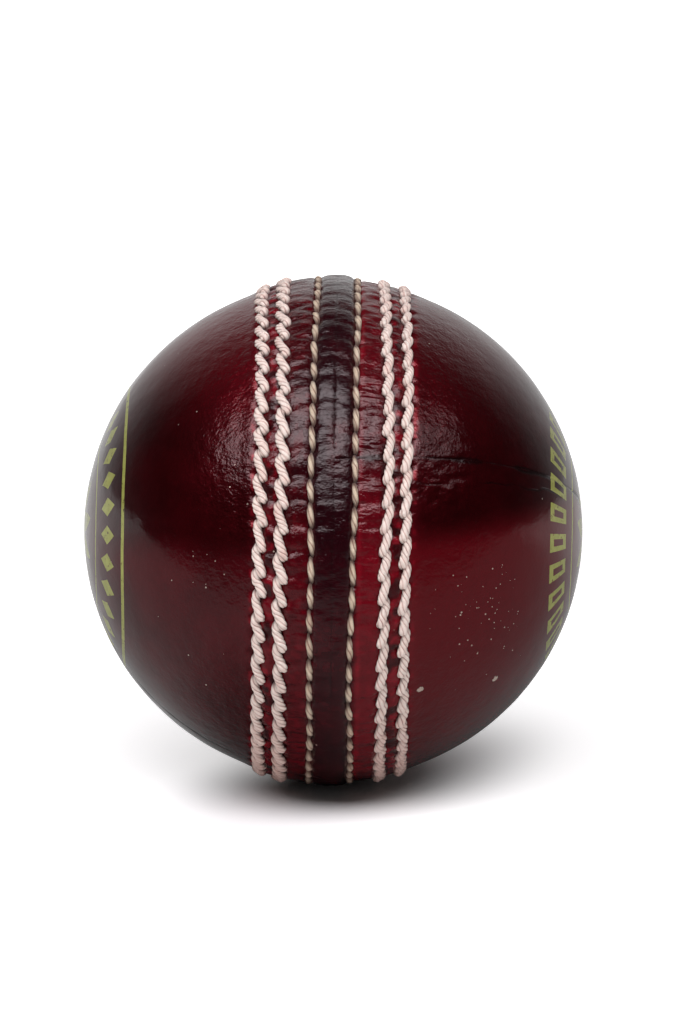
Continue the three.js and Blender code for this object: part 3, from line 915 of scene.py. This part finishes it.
def dress_inside():
    """Gives the pieces that the cover hides their own materials."""
    cork = speckled_material("cut_cork", *CUT_CORK)
    core = speckled_material("moulded_cork", *MOULDED_CORK)
    lining = lining_material()
    quarter_cord = speckled_material("waxed_linen", *LINEN)
    yarns = {
        "outer_yarn_winding": yarn_material("outer_yarn", (0.3, 0.2, 0.0)),
        "middle_yarn_winding": yarn_material("middle_yarn", (1.2, 0.4, 0.3)),
        "inner_yarn_winding": yarn_material("inner_yarn", (0.2, 1.1, 0.8)),
    }
    for name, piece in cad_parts.items():
        if name in yarns:
            material = yarns[name]
        elif "cork_slip" in name:
            material = cork
        elif name == "cork_core":
            material = core
        elif name.startswith("lining"):
            material = lining
        elif name.startswith("quarter_seam_thread"):
            material = quarter_cord
        else:
            continue
        for slot in piece.material_slots:
            slot.material = material


# ---------------------------------------------------------------- the ball
def make_ball():
    leather = leather_material()
    grip = cord_material("grip_cord", *GRIP_TONES)
    closing = cord_material("closing_cord", *CLOSING_TONES)
    pieces = [
        make_leather_quarter("right_upper", 1, RIGHT_SEAM_ANGLE, RIGHT_SEAM_TILT, False, leather),
        make_leather_quarter("right_lower", 1, RIGHT_SEAM_ANGLE, RIGHT_SEAM_TILT, True, leather),
        make_leather_quarter("left_rear", -1, LEFT_SEAM_ANGLE, LEFT_SEAM_TILT, False, leather),
        make_leather_quarter("left_front", -1, LEFT_SEAM_ANGLE, LEFT_SEAM_TILT, True, leather),
    ]
    for i, row in enumerate(ROWS):
        material, slot_name = (grip, "grip_thread") if row.cord is GRIP else (closing, "closing_thread")
        pieces.append(make_stitch_row(row, material, slot_name, STITCH_SEED + i))
    dress_inside()
    return pieces


# ---------------------------------------------------------------- stage, light and camera
AMBIENT = 0.11         # even light on matt surfaces
BACKDROP = 0.56        # how bright the wall behind looks in the polish
SOFTBOX = 4.6          # radiance of the light overhead
SIDE_SOFTBOX = 1.9
OVEREXPOSED = 1.1      # how bright the surroundings look to the camera

# The shadow on the floor, an oval in metres: its centre, how far it drifts aside for each metre back, how
# far it is squashed from back to front, and the reach over which it fades.
SHADOW_CENTRE = (0.0027, -0.0024)
SHADOW_DRIFT = 0.43
SHADOW_SQUASH = 0.54
SHADOW_FADE = (0.007, 0.0278)
SHADOW_GLOW = 0.586
TABLE_EDGE = (-0.142, -0.128)      # where the table ends in front, as the polish reflects it
TABLE_EDGE_WAY = (0.18, 0.98)      # the way across that edge


def make_floor(height):
    """A white table, which the camera sees a little overexposed. In the polish it ends at its front edge."""
    bpy.ops.mesh.primitive_plane_add(size=12, location=(0, 0, height))
    floor = bpy.context.object
    floor.name = "floor"
    material, tree, shader = new_material("pale_floor", Roughness=0.8, Specular_IOR_Level=0.0)
    path = node(tree, "LightPath").outputs
    x, y, _ = split(tree, object_place(tree))
    tone = mix(tree, path["Is Glossy Ray"], (0.78, 0.78, 0.77, 1), (0.0, 0.0, 0.0, 1))
    tone = mix(tree, path["Is Camera Ray"], tone, (0.96, 0.96, 0.96, 1))
    tree.links.new(tone, shader.inputs["Base Color"])

    # To the camera: a glow that the shadow takes away
    back = calc(tree, "SUBTRACT", y, SHADOW_CENTRE[1])
    aside = calc(tree, "MULTIPLY_ADD", back, -SHADOW_DRIFT, calc(tree, "SUBTRACT", x, SHADOW_CENTRE[0]))
    oval = node(tree, "CombineXYZ", {"X": aside, "Y": calc(tree, "MULTIPLY", back, SHADOW_SQUASH)}).outputs[0]
    reach = node(tree, "VectorMath", {0: oval}, operation="LENGTH").outputs["Value"]
    glow = calc(tree, "MULTIPLY_ADD", ramp(tree, reach, *SHADOW_FADE), SHADOW_GLOW,
                ramp(tree, reach, 0.1, 0.4))

    # In the polish: brighter on the left and at the back, dark in the shadow and past the table's edge
    ahead = calc(tree, "MULTIPLY_ADD", x, TABLE_EDGE_WAY[0], calc(tree, "MULTIPLY", y, TABLE_EDGE_WAY[1]))
    polish = calc(tree, "MULTIPLY_ADD", ramp(tree, x, -0.06, 0.04), -0.18, 0.42)
    polish = calc(tree, "MULTIPLY_ADD", ramp(tree, y, 0.0, 0.2), 0.35, polish)
    polish = calc(tree, "MULTIPLY", polish, ramp(tree, ahead, *TABLE_EDGE))
    polish = calc(tree, "MULTIPLY", polish, ramp(tree, reach, 0.002, 0.045))

    # On matt surfaces: a little light from below, but none from the shadow
    bounce = calc(tree, "MULTIPLY", ramp(tree, reach, 0.02, 0.08), 0.28)
    shine = calc(tree, "MULTIPLY_ADD", polish, path["Is Glossy Ray"],
                 calc(tree, "MULTIPLY", glow, path["Is Camera Ray"]))
    shine = calc(tree, "MULTIPLY_ADD", bounce, path["Is Diffuse Ray"], shine)
    shader.inputs["Emission Color"].default_value = (1, 1, 1, 1)
    tree.links.new(shine, shader.inputs["Emission Strength"])
    floor.data.materials.append(material)


def make_world():
    """White to the camera and behind the ball, dark elsewhere, with a little even light on matt surfaces."""
    world = bpy.data.worlds.new("studio")
    bpy.context.scene.world = world
    world.use_nodes = True
    tree = world.node_tree
    tree.nodes.clear()
    x, y, z = split(tree, node(tree, "TexCoord").outputs["Generated"])
    behind = ramp(tree, calc(tree, "ARCTAN2", calc(tree, "ABSOLUTE", x), y), 1.25, 0.25)
    low = ramp(tree, z, 0.9, 0.5)
    glow = calc(tree, "MULTIPLY_ADD", calc(tree, "MULTIPLY", behind, low), BACKDROP, 0.004)
    path = node(tree, "LightPath").outputs
    total = calc(tree, "MULTIPLY", path["Is Diffuse Ray"], AMBIENT)
    total = calc(tree, "ADD", total, calc(tree, "MULTIPLY", path["Is Glossy Ray"], glow))
    total = calc(tree, "ADD", total, calc(tree, "MULTIPLY", path["Is Camera Ray"], OVEREXPOSED))
    background = node(tree, "Background", {"Color": (1, 1, 1, 1), "Strength": total})
    node(tree, "OutputWorld", {"Surface": background.outputs[0]})


def make_softbox(name, centre, size, radiance):
    """A flat oval light that faces down, `radiance` bright. The camera does not see it."""
    light = bpy.data.lights.new(name, "AREA")
    light.color = (1.0, 0.96, 0.99)
    light.shape = "ELLIPSE"
    light.size, light.size_y = size
    light.energy = radiance * math.pi * math.pi / 4 * size[0] * size[1]
    lamp = bpy.data.objects.new(name, light)
    lamp.location = centre
    lamp.visible_camera = False
    bpy.context.scene.collection.objects.link(lamp)


CAMERA_DISTANCE = 0.79
CAMERA_ELEVATION = math.radians(10.9)
CAMERA_ROLL = math.radians(0.94)
CAMERA_LENS = 192.0
CAMERA_OFFSET = (1.18 * MM, 2.64 * MM)   # the lens's axis passes this far right of and over the centre


def make_camera():
    camera = bpy.data.objects.new("camera", bpy.data.cameras.new("camera"))
    back = Vector((0, -math.cos(CAMERA_ELEVATION), math.sin(CAMERA_ELEVATION)))
    turn = (-back).to_track_quat("-Z", "Y").to_matrix().to_4x4() @ Matrix.Rotation(CAMERA_ROLL, 4, "Z")
    right, up = turn.col[0].xyz, turn.col[1].xyz
    place = back * CAMERA_DISTANCE + right * CAMERA_OFFSET[0] + up * CAMERA_OFFSET[1]
    camera.matrix_world = Matrix.Translation(place) @ turn
    camera.data.lens = CAMERA_LENS
    camera.data.sensor_width = 36
    camera.data.dof.use_dof = False
    bpy.context.scene.collection.objects.link(camera)
    bpy.context.scene.camera = camera


def lowest(pieces):
    return min(min(v.co.z for v in piece.data.vertices) for piece in pieces)


bpy.context.scene.view_settings.view_transform = "Standard"
make_camera()
pieces = make_ball()
make_floor(lowest(pieces))
make_world()
make_softbox("overhead_softbox", (-0.22, -0.61, 0.8), (1.6, 0.8), SOFTBOX)
make_softbox("side_softbox", (0.70, -0.36, 0.74), (0.4, 0.46), SIDE_SOFTBOX)
